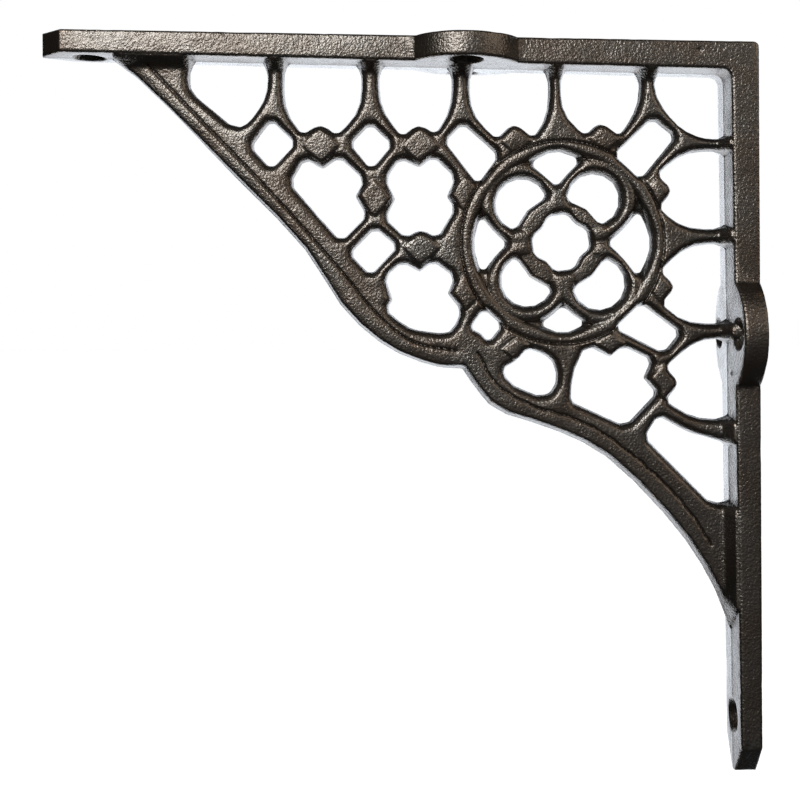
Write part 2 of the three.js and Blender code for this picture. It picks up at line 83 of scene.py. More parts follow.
# Plan of the tracery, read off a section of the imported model
PLAN_LEVEL = 0.013         # the section's place, just off the middle plane
PLATE_GAP = 0.1            # edges of the section nearer to the plates than this are the plates' own
JOIN = 0.4                 # the plan is read this far outside the plates and carried on into them
REACH = 9.0                # distances from the edges are measured as far as this
FACET_BLUR = 0.3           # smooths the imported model's facets
WEB_OVERLAP = 2.5          # how far the tracery runs on into the plates
WEB_INSET = 2.0            # how far it stays from the plates' outer faces
WEB_HALF = STRAP_HALF + 1  # no tracery lies farther than this from the middle plane

# Walls and edges
DRAFT = 0.05               # slope of the plates' walls away from the parting line
WINDOW_DRAFT = 0.11        # slope of the windows' walls
RIM_DRAFT = 0.28           # slope of the rim's outer wall along its lower run
RIM_BULGE = 0.3            # how far the upper run of the rim stands out at the parting line
BULGE_START = (160.0, 140.0)  # the bulge comes up between these distances from the wall
FLASH = 0.12               # ridge left by the parting line
FLASH_HALF_WIDTH = 0.45
EDGE_ROUNDING = 0.8        # along the edges of the plates
CORNER_ROUNDING = 1.6      # at the outer corner
INNER_ROUNDING = 2.5       # in the corner between the plates
INNER_REACH = 14.0         # how far from the outer corner that rounding may reach
BAR_ROUNDING = 1.4         # width of the rounding along the edges of the windows
PAD_SHARPNESS = 0.6        # how much narrower it is along the pads around the star
RIM_ROUNDING = (0.5, 0.35) # its width along the rim's upper and lower runs
BAR_BEVEL = 1.6            # its shape: one is a bevel, two is round
BAR_DROP = 1.5             # how far the surface falls over it
FIELD_SLOPE = 1.4          # slope of the field across it
CUSP_U = 80.5              # where the two runs of the rim meet
RUN_CHANGE = (CUSP_U - 1, CUSP_U + 8)  # the walls of the lower run turn into those of the upper one here

# Crests of the tracery, as heights above the middle plane
CREST = 3.9
CROWN = 0.7                # how far the bars fall from their middles toward their edges
CROWN_WIDTH = 3.0
ARM_FILLET = (2.4, 1.5)    # how far the fillets reach from the arm, and their slope
LEG_FILLET = (2.4, 1.7)    # the same at the leg
FILLET_TOP = 7.6           # where the fillets meet the plates
FILLET_BEND = 0.26         # softness of the bend where the fillets start

# The roundel, with radii from its middle
ROUNDEL = (53.1, 54.0)
RING_RADIUS = 26.0
RING_HALF_WIDTH = 1.9
RING_CREST = 4.1
RING_FOOT = 3.4            # height of the ring's outer foot
LOBES = ((64.0, 43.5), (44.1, 42.2), (42.6, 65.5), (62.5, 64.5))
LOBE_RADIUS = 9.2
LOBE_HALF_WIDTH = 2.1
LOBE_CREST = 3.8
PAD_HEIGHT = 3.3           # of the flat pads around the star
PAD_EDGE = (12.6, 13.4)
PAD_END = (0.40, 0.50)     # angles from the diagonals, in radians
GROUND_FALL = 0.9          # how far the lobes' ground lies below the pads
GROUND_EDGE = (13.5, 17.0)
ROUNDEL_EDGE = (27.6, 28.1)

# Bosses where the bars cross: [u, v, half width, half height] of each
BOSSES = (
    (119.3, 27.0, 4.6, 4.6), (91.9, 27.3, 4.6, 4.6), (91.8, 55.2, 4.6, 4.4), (104.7, 41.6, 4.4, 4.6),
    (25.5, 92.4, 4.2, 4.4), (65.9, 25.4, 4.4, 4.0), (41.4, 25.0, 4.4, 4.0), (79.6, 40.6, 4.0, 4.4),
    (79.9, 67.6, 4.0, 4.4), (25.6, 40.0, 4.0, 4.4), (25.2, 66.6, 4.0, 4.4), (40.2, 82.2, 4.0, 3.2),
    (65.4, 83.4, 4.0, 3.0),
)
BOSS_SPREAD = 1.2          # the corners reach this many half widths out
BOSS_CORNERS = 1.15        # one is a diamond, two an ellipse
BOSS_PROUD = 0.4           # height above the crests
BOSS_SHOULDER = (0.7, 1.0) # a boss falls to the crests between these shares of its reach
BOSS_SKIRT = (0.8, 1.05)   # and the bars take on their full crown between these
BOSS_FLATNESS = 0.6        # share of the crown that a boss takes away
BOSS_CREASE = 0.18         # depth of the crease around a boss
BOSS_CREASE_WIDTH = 0.09   # as a share of the boss
BOSS_LIMIT = 28.2          # no boss runs nearer to the roundel's middle

# Grooves: [depth, half width] of each, and the points that the two on the rim run through
UPPER_CUT = (0.85, 0.42)
LOWER_CUT = (0.75, 0.42)
RING_CUT = (0.8, 0.5)
RING_GROOVE = 27.9         # radius from the roundel's middle
UPPER_GROOVE = (
    (166.5, 4.9), (153.6, 18.6), (133.2, 39.8), (114.4, 61.0), (104.5, 73.0), (94.5, 81.0), (82.4, 83.6),
)
LOWER_GROOVE = (
    (76.3, 84.5), (71.8, 92.4), (61.7, 98.7), (46.6, 103.9), (31.6, 114.7), (19.6, 126.7), (12.8, 137.2),
)
UPPER_STEPS = 24           # segments of the curve from point to point
LOWER_STEPS = 8
LOWER_WANDER = 0.13        # how far the lower groove wanders about its curve
WANDER_SEED = 3
GROOVE_REACH = 3.0         # distances from the grooves are measured as far as this

# Marks of the casting: unevenness left by the sand, as [spacing, depth] of the coarse and the fine, and
# [u, v, y, height, radius] of a pit in the arm, one in the foot and a pimple on the ear
UNEVEN = ((7.0, 0.07), (2.2, 0.045))
UNEVEN_LIMIT = 0.25
SPARE_KNOTS = 3            # knots of the unevenness past the end of each axis
MARKS = ((16.2, 2.4, -8.0, -0.7, 0.6), (4.1, 191.2, -8.0, -0.6, 0.5), (7.4, 90.2, -3.6, 0.35, 0.8))
MARK_REACH = 3             # a mark has faded out this many radii away

# Iron, with a brown lacquer that is worn on the edges; its cavities are darkened with painted shade
METALLIC = 0.95
COAT = 0.6
COAT_ROUGHNESS = 0.22
GRAIN = (1700.0, 1.5, 0.5) # scale, detail and roughness of the noise
GRAIN_DEPTH = 0.00019      # in metres
PATCHES = (60.0, 4.0, 0.6)
BROWNS = (
    (0.35, (0.115, 0.088, 0.068, 1)), (0.5, (0.136, 0.113, 0.093, 1)), (0.65, (0.152, 0.134, 0.116, 1)),
)
DULL_AND_GLOSSY = ((0.3, (0.42, 0.42, 0.42, 1)), (0.7, (0.36, 0.36, 0.36, 1)))
# colour of the painted shade laid into the cavities
PAINTED_SHADE_COLOUR = (0.030, 0.022, 0.017, 1)
PAINTED_SHADE_RANGE = (0.44, 0.49)  # pointiness where the painted shade in the cavities is full and where there is none
EDGE_COLOUR = (0.21, 0.15, 0.105, 1)
EDGE_RANGE = (0.515, 0.57) # pointiness of no edge and of a worn one
BLACK = (0, 0, 0, 1)
WHITE = (1, 1, 1, 1)

# Camera, level and looking along +y. Its place is in metres, its lens and sensor in millimetres.
VIEW_PLACE = Vector((-0.10185, -0.35997, 0.00843))
VIEW_TURN = math.radians(0.2985)
VIEW_SENSOR = 36
VIEW_LENS = 58.5
VIEW_SHIFT = (0.01875, -0.11875)
VIEW_CLIP = 0.01

# Floor and light, in metres
FLOOR_GAP = 0.02           # below the foot
FLOOR_HALF = 4.0
FLOOR_COLOUR = (0.8, 0.8, 0.8, 1)
FLOOR_ROUGHNESS = 0.9
FLOOR_GLOW = 0.92
SWEEP = (                  # [place, level] from straight in front to straight behind
    (0.0, 0.03), (0.20, 0.01), (0.76, 0.01), (0.84, 0.8), (0.90, 1.0), (0.965, 0.6), (1.0, 0.9),
)
SWEEP_TINT = (0.86, 0.92, 1.0)
SWEEP_POWER = 2.9
LEFT_FADE = (-0.60, -0.40) # the sweep comes up between these directions, going right
TOP_FADE = (0.50, 0.20)    # and between these, going down
LIGHT_TARGET = (-0.1, 0.0, 0.0)
SOFTBOXES = (              # name, place, size, power and colour
    ("key", (-0.48, -1.00, 0.52), (0.5, 0.5), 11.3, (0.955, 0.985, 1.0)),
    ("right_glow", (0.75, -0.55, 0.5), (0.6, 0.8), 2.1, (1.0, 0.86, 0.72)),
)

low, high = (np.array(corner) / MM for corner in cad_box)
ARM = -low[0]
CORNER_Z = EAR_DISTANCE    # the origin is level with the leg's ear
LEG = CORNER_Z - low[2]


def grid_axis(start, end, step):
    count = int(math.ceil((end - start) / step)) + 2 * MARGIN + 1
    return start - MARGIN * step + step * np.arange(count)


xs = grid_axis(low[0], high[0], CELL)
zs = grid_axis(low[2], high[2], CELL)
half_layers = int(math.ceil(high[1] / LAYER)) + MARGIN
ys = LAYER * np.arange(-half_layers, half_layers + 1)

U = -xs[:, None] + 0 * zs[None, :]
V = CORNER_Z - zs[None, :] + 0 * xs[:, None]


def ramp(value, start, end):
    """Rises smoothly from zero at the start to one at the end."""
    share = np.clip((value - start) / (end - start), 0, 1)
    return share * share * (3 - 2 * share)


def rounded_min(a, b, radius):
    corner = np.hypot(np.clip(radius - a, 0, None), np.clip(radius - b, 0, None))
    return np.where(corner > 0, radius - corner, np.minimum(a, b))


# The plates

def arm_top(u):
    return -u * math.tan(ARM_RISE)


def arm_under(u):
    return arm_top(u) + ROOT_THICKNESS + (ARM_TIP_THICKNESS - ROOT_THICKNESS) * u / ARM


INNER_CORNER_DEPTH = arm_under(ROOT_THICKNESS)


def leg_inner(v):
    share = (v - INNER_CORNER_DEPTH) / (LEG - INNER_CORNER_DEPTH)
    return ROOT_THICKNESS + (LEG_TIP_THICKNESS - ROOT_THICKNESS) * share


arm_depth = V - arm_top(U)
arm_thickness = arm_under(U) - arm_top(U)
leg_thickness = leg_inner(V)
outer_corner = rounded_min(arm_depth, U, CORNER_ROUNDING)
below_arm = V - arm_under(U)
off_leg = U - leg_thickness


# Plan of the tracery

def packed_triangles(name):
    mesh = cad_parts[name].data
    mesh.calc_loop_triangles()
    points = np.zeros(len(mesh.vertices) * 3)
    mesh.vertices.foreach_get("co", points)
    corners = np.zeros(len(mesh.loop_triangles) * 3, int)
    mesh.loop_triangles.foreach_get("vertices", corners)
    return points.reshape(-1, 3)[corners.reshape(-1, 3)] / MM


def section(triangles, level):
    """Segments (x, z) where the triangles cross the plane y = level."""
    side = triangles[:, :, 1] > level
    crossing = triangles[side.any(1) & ~side.all(1)]
    side = crossing[:, :, 1] > level
    alone = np.where((side.sum(1) == 1)[:, None], side, ~side).argmax(1)
    rows = np.arange(len(crossing))
    tip = crossing[rows, alone]
    ends = []
    for step in (1, 2):
        other = crossing[rows, (alone + step) % 3]
        share = (level - tip[:, 1]) / (other[:, 1] - tip[:, 1])
        ends.append((tip + share[:, None] * (other - tip))[:, [0, 2]])
    return np.stack(ends, 1)


def filled(segments):
    """Grid points inside the outline that the segments make."""
    inside = np.zeros((len(xs), len(zs)), bool)
    start, end = segments[:, 0], segments[:, 1]
    for column, x in enumerate(xs + NUDGE):
        crossed = (start[:, 0] > x) != (end[:, 0] > x)
        if not crossed.any():
            continue
        a, b = start[crossed], end[crossed]
        heights = a[:, 1] + (x - a[:, 0]) / (b[:, 0] - a[:, 0]) * (b[:, 1] - a[:, 1])
        inside[column] = (heights[None, :] > zs[:, None]).sum(1) % 2 == 1
    return inside


def distance_to(segments, reach):
    """Distance of each grid point from the nearest segment, as far as reach."""
    field = np.full((len(xs), len(zs)), reach)
    for a, b in segments:
        lowest = np.minimum(a, b) - reach
        highest = np.maximum(a, b) + reach
        i0, i1 = np.searchsorted(xs, (lowest[0], highest[0]))
        k0, k1 = np.searchsorted(zs, (lowest[1], highest[1]))
        along = b - a
        dx = xs[i0:i1, None] - a[0]
        dz = zs[None, k0:k1] - a[1]
        share = np.clip((dx * along[0] + dz * along[1]) / max(along @ along, TINY), 0, 1)
        gap = np.hypot(dx - share * along[0], dz - share * along[1])
        field[i0:i1, k0:k1] = np.minimum(field[i0:i1, k0:k1], gap)
    return field


def blurred(field, width):
    """Gaussian blur, width in millimetres."""
    radius = int(math.ceil(3 * width / CELL))
    offsets = np.arange(-radius, radius + 1)
    weights = np.exp(-0.5 * (offsets * CELL / width) ** 2)
    weights /= weights.sum()
    for axis in (0, 1):
        padded = np.pad(field, [(radius, radius) if a == axis else (0, 0) for a in (0, 1)], "edge")
        length = field.shape[axis]
        field = sum(
            weight * np.take(padded, np.arange(shift, shift + length), axis)
            for shift, weight in enumerate(weights)
        )
    return field


def grown(region, cells):
    """The region with its neighbours, as many cells on every side."""
    for _ in range(cells):
        padded = np.pad(region, 1)
        region = (
            padded[1:-1, 1:-1] | padded[:-2, 1:-1] | padded[2:, 1:-1] | padded[1:-1, :-2] | padded[1:-1, 2:]
        )
    return region


def outside_of(solid):
    """The empty space around the solid, without its windows."""
    free = ~solid[::COARSE, ::COARSE]
    reached = np.zeros_like(free)
    reached[0] = True
    while True:
        wider = grown(reached, 1) & free
        if wider.sum() == reached.sum():
            break
        reached = wider
    fine = np.repeat(np.repeat(reached, COARSE, 0), COARSE, 1)[:solid.shape[0], :solid.shape[1]]
    return grown(fine, COARSE) & ~solid


def tracery_edges(plan):
    """The section's segments without those on the faces of the plates."""
    middles = plan.mean(1)
    depth = CORNER_Z - middles[:, 1]
    clear_of_arm = depth - arm_under(-middles[:, 0]) > PLATE_GAP
    clear_of_leg = -middles[:, 0] - leg_inner(depth) > PLATE_GAP
    return plan[clear_of_arm & clear_of_leg]


def lie_in(region, edges):
    """Whether the middle of each edge lies in the region."""
    middles = edges.mean(1)
    columns = np.round((middles[:, 0] - xs[0]) / CELL).astype(int)
    rows = np.round((middles[:, 1] - zs[0]) / CELL).astype(int)
    return region[columns, rows]


def carried_in(field):
    """The field with its values just outside the plates carried on into them."""
    columns, rows = np.indices(field.shape)
    below = np.clip(np.round((CORNER_Z - arm_under(U) - JOIN - zs[0]) / CELL).astype(int), 0, len(zs) - 1)
    field = field[columns, np.minimum(rows, below)]
    beside = np.clip(np.round((-leg_thickness - JOIN - xs[0]) / CELL).astype(int), 0, len(xs) - 1)
    return field[np.minimum(columns, beside), rows]


def distances_from_edges():
    """Distances of the grid points from the rim's outer edge and from the windows, below zero in the open."""
    plan = section(packed_triangles("bracket"), PLAN_LEVEL)
    metal = filled(plan)
    outside = outside_of(metal)
    edges = tracery_edges(plan)
    rim = lie_in(grown(outside, 2), edges)
    from_rim = distance_to(edges[rim], REACH) * np.where(outside, -1, 1)
    from_window = distance_to(edges[~rim], REACH) * np.where(metal | outside, 1, -1)
    return [blurred(carried_in(field), FACET_BLUR) for field in (from_rim, from_window)]


def curve_through(points, steps, wander=0.0):
    """Segments (x, z) of a smooth curve through points of the plan, with a cast line's slight wander."""
    points = np.array(points)
    padded = np.concatenate([2 * points[:1] - points[1:2], points, 2 * points[-1:] - points[-2:-1]])
    share = np.linspace(0, 1, steps, endpoint=False)[:, None]
    pieces = []
    for before, start, end, after in zip(padded, padded[1:], padded[2:], padded[3:]):
        pieces.append(0.5 * (
            2 * start + (end - before) * share + (2 * before - 5 * start + 4 * end - after) * share ** 2
            + (3 * start - before - 3 * end + after) * share ** 3
        ))
    line = np.concatenate(pieces + [points[-1:]])
    line = line + wander * np.random.default_rng(WANDER_SEED).normal(size=line.shape)
    line = np.stack([-line[:, 0], CORNER_Z - line[:, 1]], 1)
    return np.stack([line[:-1], line[1:]], 1)


from_rim, from_window = distances_from_edges()
from_upper_groove = distance_to(curve_through(UPPER_GROOVE, UPPER_STEPS), GROOVE_REACH)
from_lower_groove = distance_to(curve_through(LOWER_GROOVE, LOWER_STEPS, LOWER_WANDER), GROOVE_REACH)


# Crests of the tracery

def ridge(distance, half_width, base, top):
    return base + (top - base) * np.sqrt(np.clip(1 - (distance / half_width) ** 2, 0, 1))


def cut_by(distance, depth, half_width):
    return depth * np.clip(1 - distance / half_width, 0, None)


def roundel_crests(radius):
    """Height over the roundel: a ring, a lower ring around each lobe, and flat pads around the star."""
    base = PAD_HEIGHT - GROUND_FALL * ramp(radius, *GROUND_EDGE)
    ring_base = np.where(radius > RING_RADIUS, RING_FOOT, base)
    height = ridge(np.abs(radius - RING_RADIUS), RING_HALF_WIDTH, ring_base, RING_CREST)
    for u, v in LOBES:
        ring = np.abs(np.hypot(U - u, V - v) - LOBE_RADIUS)
        height = np.maximum(height, ridge(ring, LOBE_HALF_WIDTH, base, LOBE_CREST))
    angle = np.arctan2(V - ROUNDEL[1], U - ROUNDEL[0])
    from_diagonal = np.abs(np.mod(angle, math.pi / 2) - math.pi / 4)
    pads = (1 - ramp(radius, *PAD_EDGE)) * (1 - ramp(from_diagonal, *PAD_END))
    return height * (1 - pads) + PAD_HEIGHT * pads, pads


def crest_heights():
    radius = np.hypot(U - ROUNDEL[0], V - ROUNDEL[1])
    roundel, pads = roundel_crests(radius)
    beyond = ramp(radius, *ROUNDEL_EDGE)
    height = roundel * (1 - beyond) + CREST * beyond
    bosses = 0 * height
    for u, v, half_u, half_v in BOSSES:
        across = np.abs((U - u) / (half_u * BOSS_SPREAD)) ** BOSS_CORNERS
        down = np.abs((V - v) / (half_v * BOSS_SPREAD)) ** BOSS_CORNERS
        away = (across + down) ** (1 / BOSS_CORNERS)
        crease = BOSS_CREASE * np.exp(-((away - 1) / BOSS_CREASE_WIDTH) ** 2)
        proud = BOSS_PROUD * (1 - ramp(away, *BOSS_SHOULDER)) - crease
        height = height + np.where(radius > BOSS_LIMIT, proud, 0)
        bosses = np.maximum(bosses, 1 - ramp(away, *BOSS_SKIRT))
    crown = np.clip(1 - np.minimum(from_window, from_rim) / CROWN_WIDTH, 0, 1) ** 2
    height = height - CROWN * crown * (1 - pads) * (1 - BOSS_FLATNESS * bosses)
    height = height - cut_by(from_upper_groove, *UPPER_CUT) - cut_by(from_lower_groove, *LOWER_CUT)
    height = height - cut_by(np.abs(radius - RING_GROOVE), *RING_CUT)
    for gap, (reach, slope) in ((below_arm, ARM_FILLET), (off_leg, LEG_FILLET)):
        rise = slope * FILLET_BEND * np.logaddexp(0, (reach - gap) / FILLET_BEND)
        height = np.minimum(height + rise, np.maximum(height, FILLET_TOP))
    return height, pads


crests, pads = crest_heights()
wall_half = crests - BAR_DROP
rounding = BAR_ROUNDING - PAD_SHARPNESS * pads
upper_run = ramp(U, *RUN_CHANGE)
rim_bulge = RIM_BULGE * upper_run * ramp(U, *BULGE_START)
rim_draft = RIM_DRAFT + (DRAFT - RIM_DRAFT) * upper_run
rim_rounding = RIM_ROUNDING[1] + (RIM_ROUNDING[0] - RIM_ROUNDING[1]) * upper_run
between_plates = np.minimum(below_arm, off_leg) > -WEB_OVERLAP
in_web = between_plates & (U > WEB_INSET) & (V > arm_top(U) + WEB_INSET)


# The field: distance inside the iron, below zero outside it, worked out layer by layer

def parting_ridge(y):
    return FLASH * math.exp(-(y / FLASH_HALF_WIDTH) ** 2)


def web_layer(y):
    """The tracery and the rim."""
    flash = parting_ridge(y)
    inside_windows = from_window - WINDOW_DRAFT * abs(y) + flash
    inside_rim = from_rim + rim_bulge * max(0.0, 1 - abs(y) / BAR_DROP) - rim_draft * abs(y) + flash
    side = np.maximum(
        (rounding - inside_windows) / rounding,
        (rim_rounding - inside_rim) / rim_rounding,
    ).clip(0)
    rise = np.clip((abs(y) - wall_half) / (crests - wall_half), 0, None)
    bevel = (side ** BAR_BEVEL + rise ** BAR_BEVEL) ** (1 / BAR_BEVEL)
    return np.where(in_web, FIELD_SLOPE * (1 - bevel), FAR_OUTSIDE)


def hole(along, across, depth, thickness):
    """Above zero outside a countersunk hole."""
    sunk = np.clip((depth - (thickness - SINK_DEPTH)) / SINK_DEPTH, 0, None)
    radius = SHANK_RADIUS + (HEAD_RADIUS - SHANK_RADIUS) * sunk
    return (np.hypot(along, across) - radius) * HOLE_SLOPE


def arm_layer(y, draft):
    slab = np.minimum(arm_depth, arm_thickness - draft - arm_depth)
    slab = np.minimum(np.minimum(slab, U), ARM - U)
    slab = np.minimum(slab, outer_corner)
    side = STRAP_HALF - abs(y)
    side = np.minimum(side, (ARM - U + side - TIP_CHAMFER) / math.sqrt(2))
    ear = EAR_RADIUS - np.hypot(U - EAR_DISTANCE, y)
    layer = rounded_min(slab, np.maximum(side, ear), EDGE_ROUNDING)
    for offset in (-EAR_HOLE_OFFSET, EAR_HOLE_OFFSET):
        layer = np.minimum(layer, hole(U - EAR_DISTANCE, y - offset, arm_depth, arm_thickness))
    return np.minimum(layer, hole(U - (ARM - ARM_HOLE_INSET), y, arm_depth, arm_thickness))


def leg_layer(y, draft):
    slab = np.minimum(U, leg_thickness - draft - U)
    slab = np.minimum(np.minimum(slab, arm_depth), LEG - V)
    slab = np.minimum(slab, outer_corner)
    side = STRAP_HALF - abs(y)
    share = TIP_CHAMFER / FOOT_RUN
    side = np.minimum(side, ((LEG - V) * share + side - TIP_CHAMFER) / math.hypot(1, share))
    ear = EAR_RADIUS - np.hypot(V - EAR_DISTANCE, y)
    layer = rounded_min(slab, np.maximum(side, ear), EDGE_ROUNDING)
    for offset in (-EAR_HOLE_OFFSET, EAR_HOLE_OFFSET):
        layer = np.minimum(layer, hole(V - EAR_DISTANCE, y - offset, U, leg_thickness))
    return np.minimum(layer, hole(V - (LEG - LEG_HOLE_INSET), y, U, leg_thickness))


def inner_corner_layer(y, draft):
    """The rounding in the corner between the plates."""
    layer = np.hypot(
        np.clip(INNER_ROUNDING - arm_depth + arm_thickness - draft, 0, None),
        np.clip(INNER_ROUNDING - U + leg_thickness - draft, 0, None),
    ) - INNER_ROUNDING
    layer = rounded_min(np.minimum(layer, outer_corner), STRAP_HALF - abs(y), EDGE_ROUNDING)
    return np.where((U < INNER_REACH) & (V < INNER_REACH), layer, FAR_OUTSIDE)


def plate_layer(y):
    draft = DRAFT * abs(y) - parting_ridge(y)
    plates = np.maximum(arm_layer(y, draft), leg_layer(y, draft))
    return np.maximum(plates, inner_corner_layer(y, draft))


def spread(length, step, knots, spacing):
    """Weights that carry values at knots, a spacing apart, to grid points, a step apart."""
    place = np.arange(length) * step / spacing
    first = place.astype(int)
    share = place - first
    share = share * share * (3 - 2 * share)
    weights = np.zeros((length, knots))
    weights[np.arange(length), first] = 1 - share
    weights[np.arange(length), first + 1] += share
    return weights


def unevenness(spacing, depth, seed):
    """A function that gives the smooth random height for each layer."""
    axes = ((xs, CELL), (ys, LAYER), (zs, CELL))
    counts = [int(len(axis) * step / spacing) + SPARE_KNOTS for axis, step in axes]
    knots = depth * np.random.default_rng(seed).normal(size=counts)
    along_x, along_y, along_z = (
        spread(len(axis), step, count, spacing) for (axis, step), count in zip(axes, counts)
    )
    return lambda j: along_x @ np.tensordot(along_y[j], knots, (0, 1)) @ along_z.T


def casting_field():
    field = np.empty((len(xs), len(ys), len(zs)), np.float32)
    bumps = [unevenness(spacing, depth, seed) for seed, (spacing, depth) in enumerate(UNEVEN)]
    for j, y in enumerate(ys):
        layer = plate_layer(y)
        if abs(y) < WEB_HALF:
            layer = np.maximum(layer, web_layer(y))
        for u, v, mark_y, height, radius in MARKS:
            if abs(y - mark_y) < MARK_REACH * radius:
                gap = (U - u) ** 2 + (V - v) ** 2 + (y - mark_y) ** 2
                layer = layer + height * np.exp(-gap / radius ** 2)
        field[:, j, :] = layer + np.clip(sum(bump(j) for bump in bumps), -UNEVEN_LIMIT, 0)
    return field


# Surface of the field, drawn with one vertex in each cell that it passes through

CORNERS = np.array([(i, j, k) for i in (0, 1) for j in (0, 1) for k in (0, 1)])
CELL_EDGES = [
    (a, b) for a in range(8) for b in range(a + 1, 8) if np.abs(CORNERS[a] - CORNERS[b]).sum() == 1
]
STEPS = np.eye(3, dtype=int)


def vertex_places(field, cells):
    """The mean of the points where the surface crosses each cell's edges, counted in cells."""
    values = np.stack([field[tuple((cells + corner).T)] for corner in CORNERS], 1)
    total = np.zeros((len(cells), 3))
    hits = np.zeros(len(cells))
    for a, b in CELL_EDGES:
        crossed = (values[:, a] > 0) != (values[:, b] > 0)
        start, end = values[crossed, a], values[crossed, b]
        share = (start / (start - end))[:, None]
        total[crossed] += CORNERS[a] + share * (CORNERS[b] - CORNERS[a])
        hits[crossed] += 1
    return cells + total / hits[:, None]


def faces_across(axis, inside, index):
    """A face, turned outward, between each two neighbours along the axis of which one is inside."""
    lead = [slice(None)] * 3
    trail = [slice(None)] * 3
    lead[axis] = slice(0, -1)
    trail[axis] = slice(1, None)
    pairs = np.argwhere(inside[tuple(lead)] != inside[tuple(trail)])
    one, two = [STEPS[other] for other in range(3) if other != axis]
    around = [pairs, pairs - one, pairs - one - two, pairs - two]
    faces = np.stack([index[tuple(cell.T)] for cell in around], 1)
    leaving = inside[tuple(pairs.T)]
    if axis == 1:
        leaving = ~leaving
    return np.where(leaving[:, None], faces, faces[:, ::-1])


def surface(field):
    inside = field > 0
    across, deep, tall = (size - 1 for size in inside.shape)
    counts = sum(inside[i:across + i, j:deep + j, k:tall + k].astype(np.int8) for i, j, k in CORNERS)
    cells = np.argwhere((counts > 0) & (counts < len(CORNERS)))
    index = np.full(counts.shape, -1, np.int32)
    index[tuple(cells.T)] = np.arange(len(cells))
    quads = np.concatenate([faces_across(axis, inside, index) for axis in range(3)])
    origin = np.array([xs[0], ys[0], zs[0]])
    spacing = np.array([CELL, LAYER, CELL])
    return origin + vertex_places(field, cells) * spacing, quads


def build_casting():
    points, quads = surface(casting_field())
    mesh = bpy.data.meshes.new("bracket_casting")
    mesh.vertices.add(len(points))
    mesh.vertices.foreach_set("co", (points * MM).ravel())
    mesh.loops.add(quads.size)
    mesh.loops.foreach_set("vertex_index", quads.ravel())
    mesh.polygons.add(len(quads))
    mesh.polygons.foreach_set("loop_start", np.arange(0, quads.size, 4))
    mesh.update(calc_edges=True)
    piece = bpy.data.objects.new("bracket_casting", mesh)
    bpy.context.scene.collection.objects.link(piece)
    return piece


def thin_out(piece):
    modifier = piece.modifiers.new("thin", "DECIMATE")
    modifier.ratio = TRIANGLES / (2 * len(piece.data.polygons))
    depsgraph = bpy.context.evaluated_depsgraph_get()
    finished = bpy.data.meshes.new_from_object(piece.evaluated_get(depsgraph))
    piece.modifiers.clear()
    piece.data = finished
    piece.data.shade_smooth()


# Iron

def iron():
    material = bpy.data.materials.new("lacquered_iron")
    material.use_nodes = True
    nodes = material.node_tree.nodes
    links = material.node_tree.links
    shader = nodes["Principled BSDF"]
    shader.inputs["Metallic"].default_value = METALLIC
    shader.inputs["Coat Weight"].default_value = COAT
    shader.inputs["Coat Roughness"].default_value = COAT_ROUGHNESS
    place = nodes.new("ShaderNodeTexCoord")

    def noise(scale, detail, roughness):
        node = nodes.new("ShaderNodeTexNoise")
        node.inputs["Scale"].default_value = scale
        node.inputs["Detail"].default_value = detail
        node.inputs["Roughness"].default_value = roughness
        links.new(place.outputs["Object"], node.inputs["Vector"])
        return node.outputs["Fac"]

    def ramp_of(source, stops):
        node = nodes.new("ShaderNodeValToRGB")
        node.color_ramp.elements[0].position, node.color_ramp.elements[0].color = stops[0]
        node.color_ramp.elements[1].position, node.color_ramp.elements[1].color = stops[-1]
        for position, colour in stops[1:-1]:
            node.color_ramp.elements.new(position).color = colour
        links.new(source, node.inputs["Fac"])
        return node.outputs["Color"]

    grain = noise(*GRAIN)
    patches = noise(*PATCHES)
    pointiness = nodes.new("ShaderNodeNewGeometry").outputs["Pointiness"]
    # painted shade: the base colour is darkened in the cavities, where shade falls
    painted_shade = ramp_of(pointiness, [(PAINTED_SHADE_RANGE[0], WHITE), (PAINTED_SHADE_RANGE[1], BLACK)])
    edges = ramp_of(pointiness, [(EDGE_RANGE[0], BLACK), (EDGE_RANGE[1], WHITE)])
    colour = ramp_of(patches, BROWNS)
    for mask, tint in ((painted_shade, PAINTED_SHADE_COLOUR), (edges, EDGE_COLOUR)):
        mixed = nodes.new("ShaderNodeMix")
        mixed.data_type = "RGBA"
        mixed.inputs["B"].default_value = tint
        links.new(mask, mixed.inputs["Factor"])
        links.new(colour, mixed.inputs["A"])
        colour = mixed.outputs["Result"]
    links.new(colour, shader.inputs["Base Color"])
    links.new(ramp_of(patches, DULL_AND_GLOSSY), shader.inputs["Roughness"])
    bump = nodes.new("ShaderNodeBump")
    bump.inputs["Strength"].default_value = 1.0
    bump.inputs["Distance"].default_value = GRAIN_DEPTH
    links.new(grain, bump.inputs["Height"])
    links.new(bump.outputs["Normal"], shader.inputs["Normal"])
    links.new(bump.outputs["Normal"], shader.inputs["Coat Normal"])
    return material


# Camera, floor and light

def camera():
    data = bpy.data.cameras.new("camera")
    data.lens = VIEW_LENS
    data.sensor_width = VIEW_SENSOR
    data.shift_x, data.shift_y = VIEW_SHIFT
    data.clip_start = VIEW_CLIP
    viewer = bpy.data.objects.new("camera", data)
    viewer.matrix_world = (
        Matrix.Translation(VIEW_PLACE)
        @ Matrix.Rotation(math.radians(90), 4, "X")
        @ Matrix.Rotation(-VIEW_TURN, 4, "Z")
    )
    bpy.context.scene.collection.objects.link(viewer)
    bpy.context.scene.camera = viewer


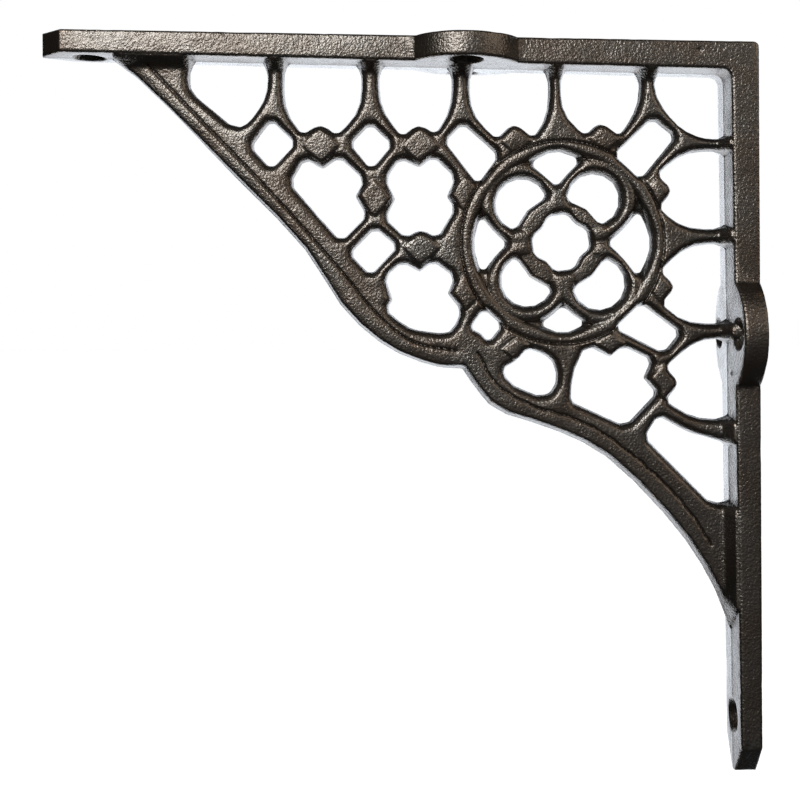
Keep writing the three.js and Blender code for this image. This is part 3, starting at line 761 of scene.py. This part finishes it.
def floor():
    """A pale floor below the bracket. It lights nothing, so that the iron mirrors the studio alone."""
    height = low[2] * MM - FLOOR_GAP
    mesh = bpy.data.meshes.new("floor")
    corners = [(-1, -1), (1, -1), (1, 1), (-1, 1)]
    mesh.from_pydata([(x * FLOOR_HALF, y * FLOOR_HALF, height) for x, y in corners], [], [(0, 1, 2, 3)])
    material = bpy.data.materials.new("pale_floor")
    material.use_nodes = True
    shader = material.node_tree.nodes["Principled BSDF"]
    shader.inputs["Base Color"].default_value = FLOOR_COLOUR
    shader.inputs["Roughness"].default_value = FLOOR_ROUGHNESS
    shader.inputs["Emission Color"].default_value = WHITE
    shader.inputs["Emission Strength"].default_value = FLOOR_GLOW
    mesh.materials.append(material)
    piece = bpy.data.objects.new("floor", mesh)
    piece.visible_glossy = False
    piece.visible_diffuse = False
    bpy.context.scene.collection.objects.link(piece)


def softbox(name, place, size, power, colour):
    data = bpy.data.lights.new(name, "AREA")
    data.shape = "RECTANGLE"
    data.size, data.size_y = size
    data.energy = power
    data.color = colour
    light = bpy.data.objects.new(name, data)
    direction = Vector(LIGHT_TARGET) - Vector(place)
    light.matrix_world = Matrix.Translation(place) @ direction.to_track_quat("-Z", "Y").to_matrix().to_4x4()
    bpy.context.scene.collection.objects.link(light)


def studio():
    """A white sweep behind the bracket, a dim room before it and dark sides. The camera sees plain white."""
    world = bpy.data.worlds.new("studio")
    bpy.context.scene.world = world
    world.use_nodes = True
    nodes = world.node_tree.nodes
    links = world.node_tree.links
    place = nodes.new("ShaderNodeTexCoord")
    direction = nodes.new("ShaderNodeSeparateXYZ")
    links.new(place.outputs["Generated"], direction.inputs["Vector"])

    def fading(axis, dark, bright, most):
        """Rises smoothly from none to most as the direction goes from dark to bright."""
        node = nodes.new("ShaderNodeMapRange")
        node.interpolation_type = "SMOOTHSTEP"
        node.inputs["From Min"].default_value = dark
        node.inputs["From Max"].default_value = bright
        node.inputs["To Max"].default_value = most
        links.new(direction.outputs[axis], node.inputs["Value"])
        return node.outputs["Result"]

    backward = nodes.new("ShaderNodeMapRange")
    backward.inputs["From Min"].default_value = -1
    links.new(direction.outputs["Y"], backward.inputs["Value"])
    sweep = nodes.new("ShaderNodeValToRGB")
    sweep.color_ramp.interpolation = "EASE"
    elements = sweep.color_ramp.elements
    for count, (position, level) in enumerate(SWEEP):
        element = elements[count] if count < 2 else elements.new(position)
        element.position = position
        element.color = [level * tint for tint in SWEEP_TINT] + [1]
    links.new(backward.outputs["Result"], sweep.inputs["Fac"])
    power = nodes.new("ShaderNodeMath")
    power.operation = "MULTIPLY"
    links.new(fading("X", *LEFT_FADE, SWEEP_POWER), power.inputs[0])
    links.new(fading("Z", *TOP_FADE, 1.0), power.inputs[1])
    lit = nodes.new("ShaderNodeVectorMath")
    lit.operation = "SCALE"
    links.new(power.outputs["Value"], lit.inputs["Scale"])
    links.new(sweep.outputs["Color"], lit.inputs["Vector"])
    path = nodes.new("ShaderNodeLightPath")
    seen = nodes.new("ShaderNodeMix")
    seen.data_type = "RGBA"
    seen.inputs["B"].default_value = WHITE
    links.new(path.outputs["Is Camera Ray"], seen.inputs["Factor"])
    links.new(lit.outputs["Vector"], seen.inputs["A"])
    links.new(seen.outputs["Result"], nodes["Background"].inputs["Color"])


casting = build_casting()
thin_out(casting)
casting.data.materials.clear()
casting.data.materials.append(iron())
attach(casting, "root")
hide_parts("bracket")

camera()
floor()
studio()
for name, place, size, power, colour in SOFTBOXES:
    softbox(name, place, size, power, colour)
bpy.context.scene.view_settings.view_transform = "Standard"
